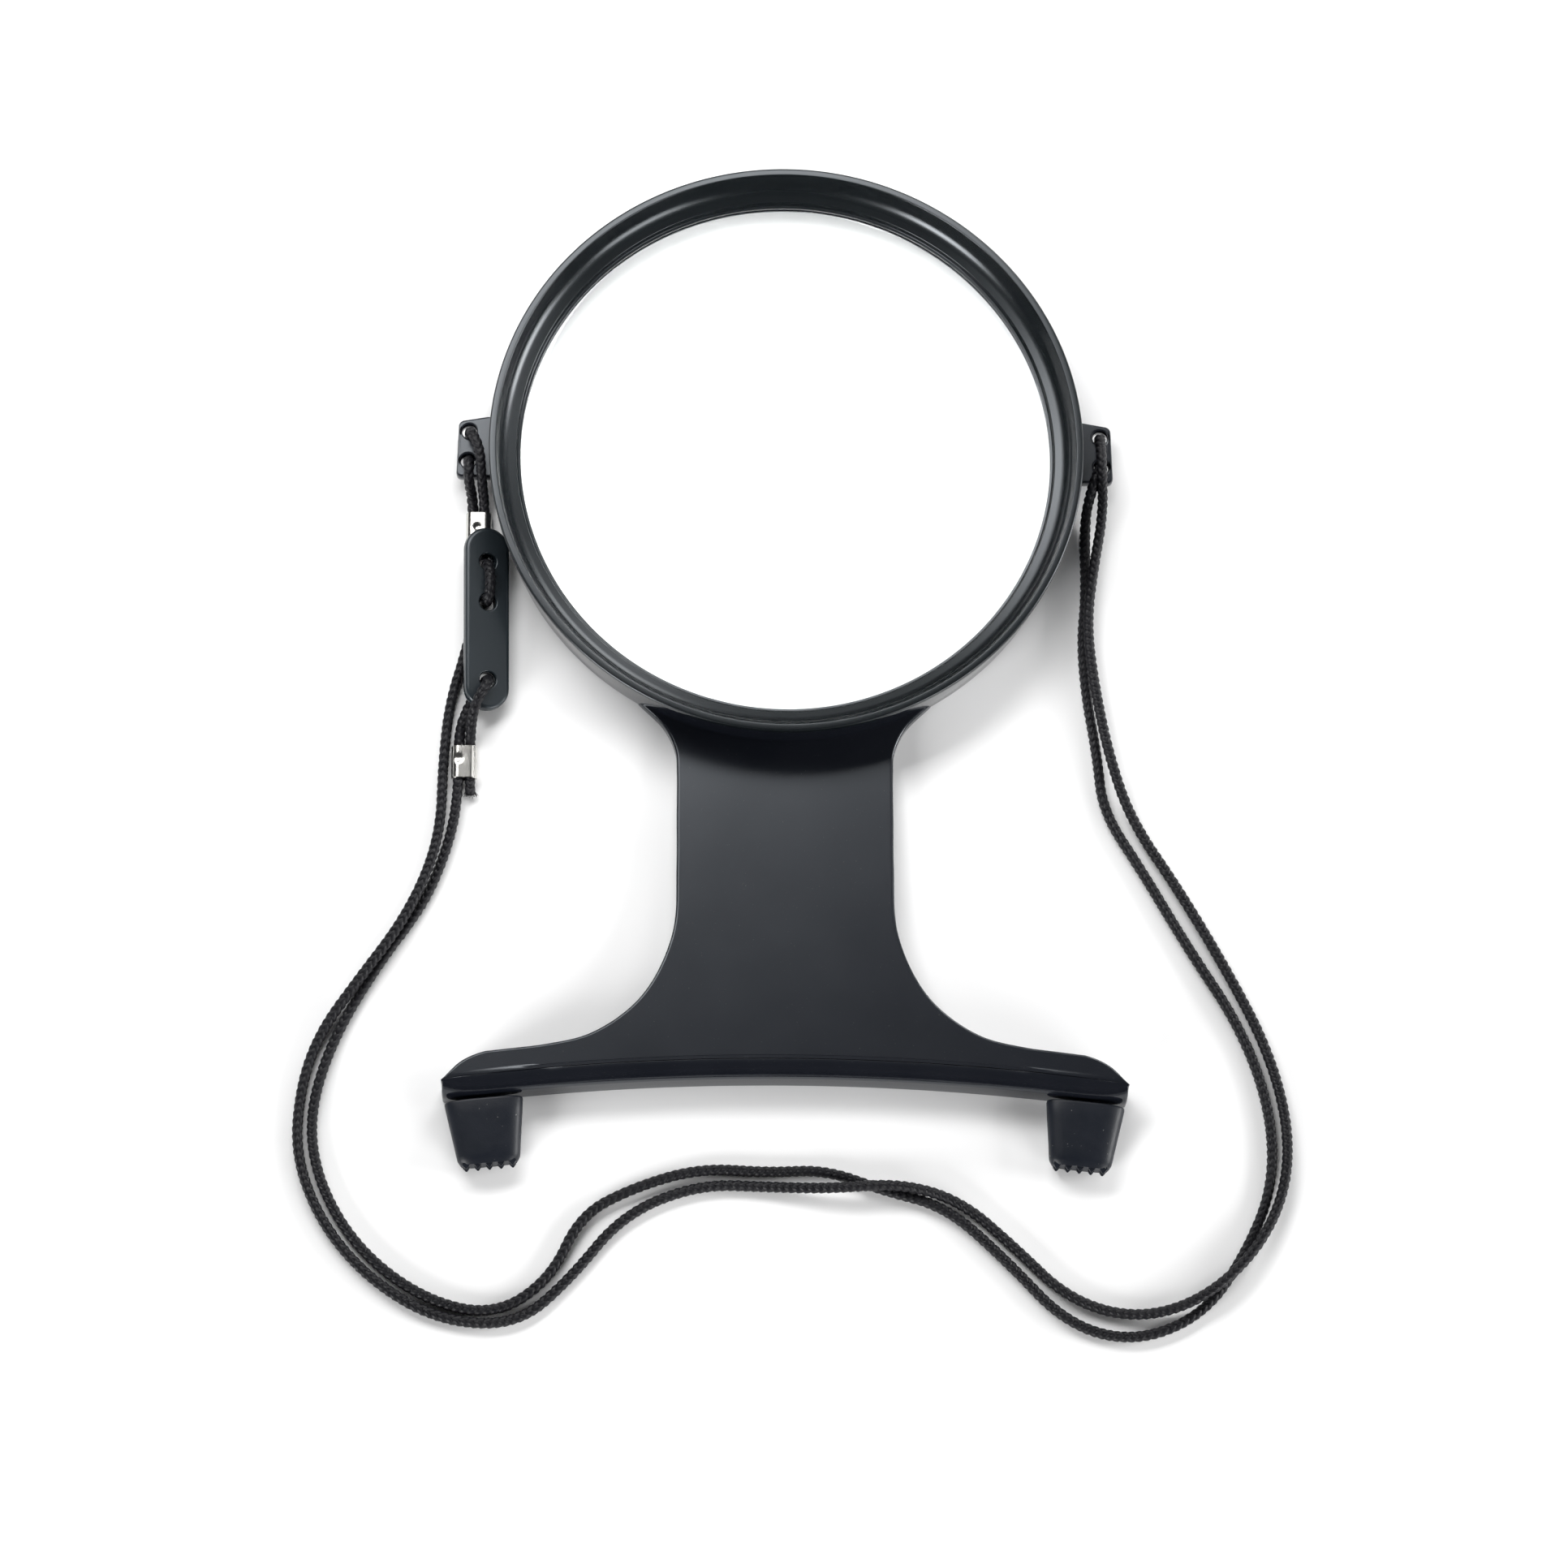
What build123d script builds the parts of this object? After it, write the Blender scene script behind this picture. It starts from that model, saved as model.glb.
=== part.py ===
"""A hands-free magnifier hung on a neck cord, lying on its back on a table.

+Z is up and is the lens axis, +X is to the right and -Y points at the two chest feet. The lens frame
stands on Z = 0, and the origin is under the middle of the magnifier without its cord. Millimetres.
"""
from build123d import *
import math
import os

os.makedirs("parts", exist_ok=True)

# Lens ring. Profiles below are (radius, height) about the lens axis.
RING_Y = 44.0              # the lens axis stands this far up +Y from the origin
LIP_RADIUS = 60.4
LIP_TOP = 14.0
WALL_FOOT_RADIUS = 58.9    # the outer wall leans out as it rises
WALL_TOP_RADIUS = 60.0
WALL_INNER_RADIUS = 58.8
WALL_TOP = 12.6
SKIRT_RADIUS = 57.8
OPENING_RADIUS = 54.0
LENS_RIM_RADIUS = 56.2
LENS_SEAT = 5.4
LENS_RIM_TOP = 7.3
FRONT_SAG = 5.5
BACK_SAG = 3.4
LENS_EDGE_GAP = 0.15

# Stem and chest bar
PLATE = 2.8
STEM_HALF = 21.8
PLATE_START = (-10.0, 2.8)     # (y, top height) where the plate leaves the ring
PLATE_END = (-81.5, 8.2)       # and where it meets the bar
BAR_HALF = 68.1
BAR_HEIGHT = 8.3
BAR_FRONT_Y = -85.9
BAR_FRONT_RADIUS = 500.0       # the front curves round the chest
BAR_WALL = 3.2
BAR_NOSE = 2.8
BAR_END_CORNER = 1.0
END_BLOCK = 6.1
BEYOND_FRONT = -100.0          # a y in front of the bar, where its cutting shapes end

# Cord lugs on the ring
LUG_BOTTOM = 2.5
LUG_TOP = 4.9
LUG_CORNER = 1.1
HOLE_RADIUS = 1.6
UPPER_HOLE = (64.5, 49.6)
LOWER_HOLE = (64.7, 43.3)

# Chest feet: a rubber boot on a peg, square to the bar's curved front
FOOT_ROOT = (59.7, -90.2, 3.2)
FOOT_TURN = 5.9
FOOT_LENGTH = 12.95
ROOT_WIDTH = 15.6
ROOT_HEIGHT = 6.2
SOLE_WIDTH = 11.9
SOLE_HEIGHT = 5.2
PEG_WIDTH = 9.0
PEG_HEIGHT = 3.0
PEG_LENGTH = 9.0
PEG_ROOT = 3.0
TOOTH_PITCH = 2.3
TOOTH_BASE = 1.35
TOOTH_TIP = 0.2
TOOTH_HEIGHT = 0.75
TEETH_ACROSS = 5
TEETH_ROWS = 2

# Cord, crimps and adjuster
CORD = 2.2
CRIMP_WIDTH = 5.2
CRIMP_HEIGHT = 3.0
CRIMP_LENGTH = 6.8
CHANNEL_GAP = 2.3              # between the two cords in a crimp
CHANNEL_PLAY = 0.06
CRIMP_Z = 1.5
UPPER_CRIMP = (-62.4, 29.55)
LOWER_CRIMP = (-64.6, -20.0)
SLIDER_TOP = (-60.8, 28.7, 4.75)
SLIDER_BOTTOM = (-60.3, -9.5, 3.6)
SLIDER_WIDTH = 9.2
SLIDER_THICK = 2.6
SLIDER_ROLL = 18.0             # its left edge rides up on the cord
SLIDER_HOLES = ((7.3, 1.85), (15.8, 1.85), (32.1, 1.75))   # distance from the top end, radius
SLIDER_EDGE = 0.7


def write(name, solid):
    """Writes one named piece."""
    solid.label = name
    export_step(solid, f"parts/{name}.step")


def turned(profile):
    """A solid turned about the lens axis from an outline of (radius, height) points."""
    outline = Plane.XZ * make_face(Polyline(*[(r, z) for r, z in profile], close=True))
    return Pos(0, RING_Y) * revolve(outline, Axis.Z)


def bar_front(x):
    """Y of the bar's concave front at x."""
    return BAR_FRONT_Y - BAR_FRONT_RADIUS + math.sqrt(BAR_FRONT_RADIUS**2 - x**2)


# ---- frame ----------------------------------------------------------------------------------------


def ring():
    return turned([
        (SKIRT_RADIUS, 0), (WALL_FOOT_RADIUS, 0), (WALL_TOP_RADIUS, WALL_TOP),
        (WALL_INNER_RADIUS, WALL_TOP), (WALL_INNER_RADIUS, LENS_SEAT), (OPENING_RADIUS, LENS_SEAT),
        (OPENING_RADIUS, LENS_SEAT - 0.9), (SKIRT_RADIUS, LENS_SEAT - 0.9),
    ])


def half_side(side):
    """One edge of the stem and bar in plan, from the ring down to the bar's end."""
    neck = ThreePointArc((side * 28.2, -9.8), (side * 23.0, -14.6), (side * STEM_HALF, -20.5))
    straight = Line((side * STEM_HALF, -20.5), (side * STEM_HALF, -42.0))
    flare = Spline(
        (side * STEM_HALF, -42.0), (side * 22.6, -56.4), (side * 28.5, -69.2), (side * 38.1, -76.9),
        (side * 48.0, -79.6), tangents=((0, -1), (side, -0.12)))
    shoulder = Spline(
        (side * 48.0, -79.6), (side * 58.9, -80.9), (side * 64.1, -83.1), (side * BAR_HALF, -87.1),
        tangents=((side, -0.12), (side * 0.6, -0.8)))
    end = Line((side * BAR_HALF, -87.1), (side * BAR_HALF, bar_front(BAR_HALF)))
    return [neck, straight, flare, shoulder, end]


def plate_top(y, drop=0.0):
    """Height of the plate's sloping top at y, less a drop."""
    slope = (PLATE_END[1] - PLATE_START[1]) / (PLATE_END[0] - PLATE_START[0])
    return PLATE_START[1] + slope * (y - PLATE_START[0]) - drop


def side_prism(points):
    """A prism across the whole width from an outline in (y, z)."""
    return extrude(Plane.YZ * make_face(Polyline(*points, close=True)), amount=2 * BAR_HALF, both=True)


def nose_cutter():
    """What rounds the top of the bar's front: the outside of a quarter circle, turned with the front."""
    near, far = BAR_FRONT_RADIUS, BAR_FRONT_RADIUS + BAR_NOSE
    low = BAR_HEIGHT - BAR_NOSE
    bend = BAR_NOSE * math.sqrt(0.5)
    outline = make_face([
        ThreePointArc((near, low), (far - bend, low + bend), (far, BAR_HEIGHT)),
        Polyline(
            (far, BAR_HEIGHT), (far, BAR_HEIGHT + 1), (near - 5, BAR_HEIGHT + 1), (near - 5, low), (near, low)),
    ])
    sweep_angle = 24
    sector = revolve(Plane.XZ * outline, Axis.Z, sweep_angle)
    return Pos(0, BAR_FRONT_Y - BAR_FRONT_RADIUS) * Rot(0, 0, 90 - sweep_angle / 2) * sector


def stem_and_bar():
    front = ThreePointArc(
        (-BAR_HALF, bar_front(BAR_HALF)), (0, BAR_FRONT_Y), (BAR_HALF, bar_front(BAR_HALF)))
    closing = Line((-28.2, -9.8), (28.2, -9.8))
    outline = make_face(half_side(-1) + half_side(1) + [front, closing])
    block = extrude(outline, amount=BAR_HEIGHT)
    block = fillet(block.edges().filter_by(Axis.Z).sort_by(Axis.Y)[:2], BAR_END_CORNER)
    top = side_prism([
        (0, -1), (0, plate_top(0)), PLATE_END,
        (PLATE_END[0] - 2, BAR_HEIGHT), (BEYOND_FRONT, BAR_HEIGHT), (BEYOND_FRONT, -1),
    ])
    block = (block & top) - nose_cutter()

    inner = BAR_HALF - END_BLOCK
    inner_y = bar_front(inner) + BAR_WALL
    pocket_front = ThreePointArc((-inner, inner_y), (0, BAR_FRONT_Y + BAR_WALL), (inner, inner_y))
    pocket_back = Polyline((inner, inner_y), (inner, 5), (-inner, 5), (-inner, inner_y))
    pocket = extrude(make_face([pocket_front, pocket_back]), amount=BAR_HEIGHT)
    ceiling = plate_top(PLATE_END[0], PLATE)
    under = side_prism([
        (5, -1), (5, plate_top(5, PLATE)), (PLATE_START[0], 0), (PLATE_END[0], ceiling),
        (BEYOND_FRONT, ceiling), (BEYOND_FRONT, -1),
    ])
    inside_ring = Pos(0, RING_Y) * Cylinder(SKIRT_RADIUS + 0.6, 60)
    return block - (pocket & under) - inside_ring


def lug(side):
    """The flat ear that the cord is threaded through; its two holes are the cord's own."""
    outline = make_face(Polyline(
        (side * 58.4, 52.9), (side * 60.9, 52.9), (side * 66.7, 51.9), (side * 67.1, 39.8),
        (side * 58.3, 39.8), close=True))
    corners = outline.vertices().filter_by(lambda v: abs(v.X) > 66)
    plate = extrude(fillet(corners, LUG_CORNER), amount=LUG_TOP - LUG_BOTTOM)
    plate = Pos(0, 0, LUG_BOTTOM) * plate
    for x, y in (UPPER_HOLE, LOWER_HOLE):
        plate -= Pos(side * x, y) * Cylinder(HOLE_RADIUS, 40)
    return plate


def foot_plane(side):
    """Local frame of a foot: z runs out from the bar along the foot, x across it, y up."""
    turn = math.radians(FOOT_TURN)
    out = Vector(-side * math.sin(turn), -math.cos(turn), 0)
    across = Vector(math.cos(turn), -side * math.sin(turn), 0)
    return Plane(origin=(side * FOOT_ROOT[0], FOOT_ROOT[1], FOOT_ROOT[2]), x_dir=across, z_dir=out)


def peg(side, start, length):
    rod = Pos(0, 0, start) * extrude(RectangleRounded(PEG_WIDTH, PEG_HEIGHT, 0.8), amount=length)
    return foot_plane(side) * rod


def make_frame():
    frame = ring() + stem_and_bar()
    for side in (-1, 1):
        frame += lug(side)
        frame += peg(side, -PEG_ROOT, PEG_ROOT + PEG_LENGTH)
    return frame


# ---- lens and bezel -------------------------------------------------------------------------------


def make_bezel():
    return turned([
        (LIP_RADIUS, WALL_TOP), (LIP_RADIUS, 13.6), (60.0, LIP_TOP), (59.05, LIP_TOP), (57.9, 11.6),
        (57.4, 11.4), (56.3, 9.2), (54.2, 8.3), (OPENING_RADIUS, 8.2), (OPENING_RADIUS, LENS_RIM_TOP),
        (WALL_INNER_RADIUS - 0.05, LENS_RIM_TOP), (WALL_INNER_RADIUS - 0.05, WALL_TOP),
    ])


def make_lens():
    """Biconvex lens of about 3 dioptres with a flat clamped rim."""
    edge = OPENING_RADIUS - LENS_EDGE_GAP
    front_radius = (edge**2 + FRONT_SAG**2) / (2 * FRONT_SAG)
    back_radius = (edge**2 + BACK_SAG**2) / (2 * BACK_SAG)
    half = edge / 2
    front_apex = LENS_RIM_TOP + FRONT_SAG
    back_apex = LENS_SEAT - BACK_SAG
    front_mid = front_apex - front_radius + math.sqrt(front_radius**2 - half**2)
    back_mid = back_apex + back_radius - math.sqrt(back_radius**2 - half**2)
    outline = make_face([
        ThreePointArc((0, front_apex), (half, front_mid), (edge, LENS_RIM_TOP)),
        Polyline((edge, LENS_RIM_TOP), (LENS_RIM_RADIUS, LENS_RIM_TOP), (LENS_RIM_RADIUS, LENS_SEAT),
                 (edge, LENS_SEAT)),
        ThreePointArc((edge, LENS_SEAT), (half, back_mid), (0, back_apex)),
        Line((0, back_apex), (0, front_apex)),
    ])
    return Pos(0, RING_Y) * revolve(Plane.XZ * outline, Axis.Z)


# ---- feet -----------------------------------------------------------------------------------------


def make_foot(side):
    root = RectangleRounded(ROOT_WIDTH, ROOT_HEIGHT, 2.6)
    middle = Pos(0, -0.1, FOOT_LENGTH - 1.2) * RectangleRounded(SOLE_WIDTH + 0.4, SOLE_HEIGHT + 0.3, 1.6)
    sole = Pos(0, -0.1, FOOT_LENGTH) * RectangleRounded(SOLE_WIDTH - 1.6, SOLE_HEIGHT - 1.2, 1.0)
    boot = loft([root, middle], ruled=True) + loft([middle, sole], ruled=True)
    boot -= extrude(RectangleRounded(PEG_WIDTH, PEG_HEIGHT, 0.8), amount=PEG_LENGTH)
    for column in range(TEETH_ACROSS):
        for row in range(TEETH_ROWS):
            x = (column - (TEETH_ACROSS - 1) / 2) * TOOTH_PITCH
            y = (row - (TEETH_ROWS - 1) / 2) * TOOTH_PITCH - 0.1
            foot_of_tooth = Pos(x, y, FOOT_LENGTH - 0.5) * Rectangle(TOOTH_BASE, TOOTH_BASE)
            tip = Pos(x, y, FOOT_LENGTH + TOOTH_HEIGHT) * Rectangle(TOOTH_TIP, TOOTH_TIP)
            boot += loft([foot_of_tooth, tip], ruled=True)
    return foot_plane(side) * boot


# ---- cord fittings --------------------------------------------------------------------------------


def make_crimp(centre):
    """A ferrule pressed flat round two cords, its length along Y."""
    channel = CORD + CHANNEL_PLAY
    shell = SlotOverall(CRIMP_WIDTH, CRIMP_HEIGHT) - SlotOverall(CHANNEL_GAP + channel, channel)
    top_end = (centre[0], centre[1] + CRIMP_LENGTH / 2, CRIMP_Z)
    along_y = Plane(origin=top_end, x_dir=(1, 0, 0), z_dir=(0, -1, 0))
    return along_y * extrude(shell, amount=CRIMP_LENGTH)


def slider_plane():
    """Local frame of the adjuster: x from its top end to its bottom end, z up out of its face."""
    top, bottom = Vector(*SLIDER_TOP), Vector(*SLIDER_BOTTOM)
    along = (bottom - top).normalized()
    up = (Vector(0, 0, 1) - along * along.Z).normalized()
    face = up.rotate(Axis((0, 0, 0), along), -SLIDER_ROLL)
    return Plane(origin=(top + bottom) / 2, x_dir=along, z_dir=face)


SLIDER_LENGTH = (Vector(*SLIDER_BOTTOM) - Vector(*SLIDER_TOP)).length


def on_slider(from_top, across, height):
    """World point at a distance from the slider's top end, across it, and above its middle plane."""
    point = slider_plane().from_local_coords(Vector(from_top - SLIDER_LENGTH / 2, across, height))
    return (point.X, point.Y, point.Z)


def make_slider():
    body = extrude(SlotOverall(SLIDER_LENGTH, SLIDER_WIDTH), amount=SLIDER_THICK / 2, both=True)
    body = fillet(body.faces().sort_by(Axis.Z)[-1].edges(), SLIDER_EDGE)
    body = fillet(body.faces().sort_by(Axis.Z)[0].edges(), SLIDER_EDGE)
    for from_top, radius in SLIDER_HOLES:
        body -= Pos(from_top - SLIDER_LENGTH / 2, 0) * Cylinder(radius, 10)
    return slider_plane() * body


# ---- cord -----------------------------------------------------------------------------------------
# Each route is a list of corners; the tube is straight runs joined by arcs as large as the runs allow.

LUG_LOOP = [
    (-61.25, 29.5, 1.5), (-61.25, 35.0, 1.5), (-61.9, 39.0, 7.5), (-62.3, 45.2, 7.7), (-64.4, 49.6, 6.2),
    (-64.4, 49.6, 1.1), (-64.6, 43.3, 1.1), (-64.6, 43.3, 6.6), (-64.5, 38.2, 6.9), (-63.55, 35.4, 1.5),
    (-63.55, 29.5, 1.5),
]

MAIN = [
    (-61.25, 29.5, 1.5), (-61.25, 24.5, 1.5), (-62.1, 16.0, 1.1), (-64.5, 4.0, 1.1), (-67.8, -7.5, 1.1),
    (-68.9, -20.5, 1.1), (-69.1, -33.0, 1.5), (-71.6, -43.6, 3.2), (-76.8, -54.4, 3.4), (-84.4, -65.0, 3.5),
    (-92.4, -76.0, 1.4), (-96.0, -87.0, 1.1), (-96.8, -100.8, 1.1), (-91.5, -114.5, 1.1),
    (-81.6, -126.0, 1.1), (-68.0, -134.0, 1.1), (-52.6, -134.8, 1.1), (-42.3, -125.6, 1.1),
    (-32.0, -112.5, 1.1),
    (-17.0, -106.3, 1.1), (-3.0, -106.8, 1.1), (9.0, -107.5, 3.4), (23.0, -106.3, 3.4),
    (35.0, -109.4, 1.1), (45.5, -118.7, 1.1), (56.0, -129.0, 1.1), (69.0, -132.8, 1.1),
    (81.5, -129.8, 3.4), (92.5, -120.4, 3.5), (99.2, -107.8, 1.7), (100.4, -94.0, 1.1),
    (96.5, -78.0, 1.1), (88.7, -62.0, 1.1), (79.4, -45.4, 1.1), (70.0, -31.0, 1.2),
    (65.6, -18.4, 3.3), (62.8, -3.6, 3.4), (61.3, 10.0, 3.4), (63.0, 22.5, 3.2), (65.0, 33.3, 3.4),
    (64.5, 41.4, 9.2), (64.5, 49.6, 6.2), (64.5, 49.6, 1.1), (64.7, 43.3, 1.1), (64.7, 43.3, 6.6),
    (62.6, 38.2, 6.9), (61.3, 32.8, 1.1), (61.4, 25.0, 1.1),
]

RETURN = [
    (61.4, 25.0, 1.1), (61.5, 17.2, 1.1), (60.4, 7.0, 1.1), (61.2, -5.0, 1.1), (63.2, -17.0, 1.1),
    (64.2, -29.0, 1.1), (72.0, -41.5, 1.1), (81.0, -57.5, 1.1), (91.0, -73.3, 1.1), (96.7, -90.0, 1.1),
    (97.0, -106.0, 1.1), (91.0, -120.0, 1.1), (82.5, -132.0, 1.1), (69.0, -137.5, 1.1), (55.6, -134.0, 1.1),
    (44.0, -121.5, 1.1), (32.0, -110.5, 1.1), (19.5, -107.3, 1.1), (8.0, -103.2, 1.1),
    (-3.0, -103.9, 1.1), (-17.0, -103.0, 1.1), (-31.0, -107.5, 1.1), (-40.5, -113.0, 1.1),
    (-46.0, -125.5, 1.1), (-57.0, -133.0, 1.1), (-71.0, -129.8, 1.1), (-84.0, -120.0, 1.1),
    (-92.1, -106.6, 1.1), (-94.3, -93.0, 1.1), (-90.0, -77.5, 1.1), (-81.3, -62.0, 1.1), (-72.3, -49.5, 1.1),
    (-67.8, -38.0, 1.1), (-65.75, -28.0, 1.5), (-65.75, -20.0, 1.5),
]

ADJUSTER_LOOP = [
    (-63.3, -26.4, 1.4), (-63.45, -22.8, 1.5), (-63.45, -13.6, 1.5), (-62.7, -9.6, 7.4),
    on_slider(32.1, 0.0, 2.9), on_slider(32.1, 0.0, -2.6), (-64.0, -8.2, 1.3), (-65.75, -13.2, 1.5),
    (-65.75, -20.0, 1.5),
]

WEAVE = [
    on_slider(7.3, 0.0, -2.0), on_slider(7.3, 0.0, 2.8),
    on_slider(15.8, 0.0, 2.8), on_slider(15.8, 0.0, -2.0),
]


def corner_radii(route):
    """Arc radius at each corner: 0.45 of its shorter run over the tangent of half its turn."""
    radii = []
    for before, here, after in zip(route, route[1:], route[2:]):
        run_in = Vector(*here) - Vector(*before)
        run_out = Vector(*after) - Vector(*here)
        half_turn = math.radians(run_in.get_angle(run_out)) / 2
        radii.append(0.45 * min(run_in.length, run_out.length) / math.tan(half_turn))
    return radii


def make_cord(name, route):
    path = FilletPolyline(*route, radius=corner_radii(route))
    start = Plane(origin=route[0], z_dir=Vector(*route[1]) - Vector(*route[0]))
    tube = sweep(start * Circle(CORD / 2), path=path)
    length = sum(edge.length for edge in path.edges())
    ideal = math.pi * CORD**2 / 4 * length
    print(name, "length", round(length, 1), "volume / ideal", round(tube.volume / ideal, 4))
    return tube


write("frame", make_frame())
write("front_bezel", make_bezel())
write("lens", make_lens())
write("left_foot", make_foot(-1))
write("right_foot", make_foot(1))
write("upper_crimp", make_crimp(UPPER_CRIMP))
write("lower_crimp", make_crimp(LOWER_CRIMP))
write("adjuster_slider", make_slider())
CORDS = {
    "cord_lug_loop": LUG_LOOP,
    "cord_main": MAIN,
    "cord_return": RETURN,
    "cord_adjuster_loop": ADJUSTER_LOOP,
    "cord_weave": WEAVE,
}
for cord_name, cord_route in CORDS.items():
    write(cord_name, make_cord(cord_name, cord_route))
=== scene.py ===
"""Looks of a hands-free magnifier that lies on a pale table with its neck cord laid round it.

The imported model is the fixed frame. Sizes below are in millimetres and build() turns them into metres.
"""
import math

import bmesh
import bpy
import numpy as np
from mathutils import Matrix, Vector
from mathutils.geometry import tessellate_polygon


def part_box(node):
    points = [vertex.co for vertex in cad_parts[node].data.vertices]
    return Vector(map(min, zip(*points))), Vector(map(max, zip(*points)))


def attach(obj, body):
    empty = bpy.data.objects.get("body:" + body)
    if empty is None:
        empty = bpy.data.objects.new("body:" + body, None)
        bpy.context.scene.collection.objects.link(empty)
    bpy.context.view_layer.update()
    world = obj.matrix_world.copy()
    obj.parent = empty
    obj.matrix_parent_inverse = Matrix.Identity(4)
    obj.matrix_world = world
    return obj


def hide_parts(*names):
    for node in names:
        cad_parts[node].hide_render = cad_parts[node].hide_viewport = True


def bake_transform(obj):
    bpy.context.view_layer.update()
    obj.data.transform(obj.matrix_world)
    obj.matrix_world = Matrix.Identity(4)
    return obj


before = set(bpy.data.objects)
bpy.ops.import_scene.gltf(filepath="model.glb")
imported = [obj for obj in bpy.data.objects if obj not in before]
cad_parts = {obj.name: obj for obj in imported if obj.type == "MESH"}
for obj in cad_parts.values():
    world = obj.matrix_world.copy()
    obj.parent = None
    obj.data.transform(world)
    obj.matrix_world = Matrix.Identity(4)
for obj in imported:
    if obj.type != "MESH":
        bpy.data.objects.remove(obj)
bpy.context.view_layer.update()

MM = 0.001
BEZEL_LOW, BEZEL_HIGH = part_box("front_bezel")
_, FRAME_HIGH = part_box("frame")

# Lens ring, as (radius, height) about the lens axis
RING_Y = (BEZEL_LOW.y + BEZEL_HIGH.y) / 2 / MM
LIP_RADIUS = BEZEL_HIGH.x / MM
LIP_TOP = BEZEL_HIGH.z / MM
SEAT_RADIUS = 54.0
WALL_FOOT_RADIUS = 58.9
LENS_SEAT = 5.4
LENS_RIM_TOP = 7.3
LENS_RIM_RADIUS = 56.2
LENS_GAP = 0.15             # between the curved faces and the seat
FRONT_SAG = 5.5
BACK_SAG = 3.4
WALL_TOP = 12.6
WALL_INSIDE = 58.8
FLANGE_BOTTOM = 4.5
AROUND = 288                # steps round the lens axis

# Stem and chest bar
BAR_HALF = FRAME_HIGH.x / MM
BAR_FRONT_Y = -85.9
BAR_FRONT_RADIUS = 500.0
BAR_NOSE = 2.8
END_ROLL = 3.0              # how much more the front rolls down at the bar's ends
BAR_WALL = 3.2
BAR_TIP_Y = -87.1
END_START = 63.6            # here the front starts to turn in towards the bar's end
END_TURN = 14.0             # radius of that turn
END_CORNER = 0.5            # radius of the corner after it
FRONT_STEPS = 26            # steps along the front's long curve, from its middle to END_START
END_BLOCK = 6.1
PLATE = 2.8
PLATE_SLOPE = 0.0755        # the plate rises this much for each millimetre towards the bar
CREASE_Y = -81.5            # where the plate meets the flat band on the bar
CREASE_HEIGHT = 8.15
SIDE_EDGE = 0.55
RING_FOOT = 58.4            # radius along which the plate starts, inside the ring wall
# Rows of the flat band from the crease to the rolled front, as (share of its width, lift)
BAND = (
    (0.0, 0.0), (0.12, 0.10), (0.60, 0.12), (0.78, 0.13), (0.83, -0.10), (0.90, -0.12), (0.94, 0.14),
    (1.0, 0.15),
)
BAND_FADE = 26.0            # the lifts fade out over this distance from the bar's end

# Cord lugs
LUG_BOTTOM = 2.5
LUG_TOP = 4.9
HOLE_RADIUS = 1.6
UPPER_HOLE = (64.5, 49.6)
LOWER_HOLE = (64.7, 43.3)
LUG_CORNERS = ((58.3, 39.8, 0), (67.1, 39.8, 1.1), (66.7, 51.9, 1.3), (60.9, 52.9, 0.6), (58.4, 52.9, 0))

# Chest feet
FOOT_ROOT = (59.7, -90.2, 3.2)
FOOT_TURN = 5.9
FOOT_LENGTH = 12.95
# Cross sections of a foot from its root, as (distance along it, width, height, shift in height)
FOOT_SECTIONS = (
    (0.0, 15.2, 5.9, 0.0), (0.12, 15.5, 6.1, 0.0), (0.4, 15.6, 6.2, 0.0), (3.0, 14.9, 6.1, 0.0),
    (6.0, 14.05, 5.95, -0.05), (9.0, 13.2, 5.75, -0.08), (11.0, 12.7, 5.6, -0.1), (11.8, 12.4, 5.4, -0.1),
    (12.3, 11.9, 5.0, -0.1), (12.7, 11.4, 4.6, -0.1), (FOOT_LENGTH, 11.0, 4.3, -0.1),
)
TEETH_ACROSS = 5
TEETH_UP = 2
TOOTH_PITCH = 2.3
TOOTH_BASE = 1.35
TOOTH_TIP = 0.28
TOOTH_HEIGHT = 0.75
TOOTH_ROOT = 0.4            # how deep a tooth is set into the sole

# Cord, crimps and adjuster
CRIMP_WIDTH = 5.2
CRIMP_HEIGHT = 3.0
CRIMP_LENGTH = 6.8
CRIMP_Z = 1.5
CRIMP_WALL = 0.36
CRIMP_EDGE = 0.12
SLIDER_TOP = Vector((-60.8, 28.7, 4.75))
SLIDER_BOTTOM = Vector((-60.3, -9.5, 3.6))
SLIDER_WIDTH = 9.2
SLIDER_THICK = 2.6
SLIDER_ROLL = 18.0
SLIDER_HOLES = ((7.3, 1.85), (15.8, 1.85), (32.1, 1.75))    # distance from the top end, radius
SLIDER_LENGTH = (SLIDER_BOTTOM - SLIDER_TOP).length


# ---- mesh helpers ---------------------------------------------------------------------------------


def build(name, points, faces, body, slot, material, crease=35.0, place=None):
    """One piece of the object from points in millimetres."""
    mesh = bpy.data.meshes.new(name)
    where = place or Matrix.Identity(4)
    mesh.from_pydata([(where @ Vector(p)) * MM for p in points], [], faces)
    tidy = bmesh.new()
    tidy.from_mesh(mesh)
    bmesh.ops.remove_doubles(tidy, verts=tidy.verts, dist=1e-7)
    bmesh.ops.recalc_face_normals(tidy, faces=tidy.faces)
    tidy.to_mesh(mesh)
    tidy.free()
    return finish_piece(name, mesh, body, material, crease)


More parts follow.
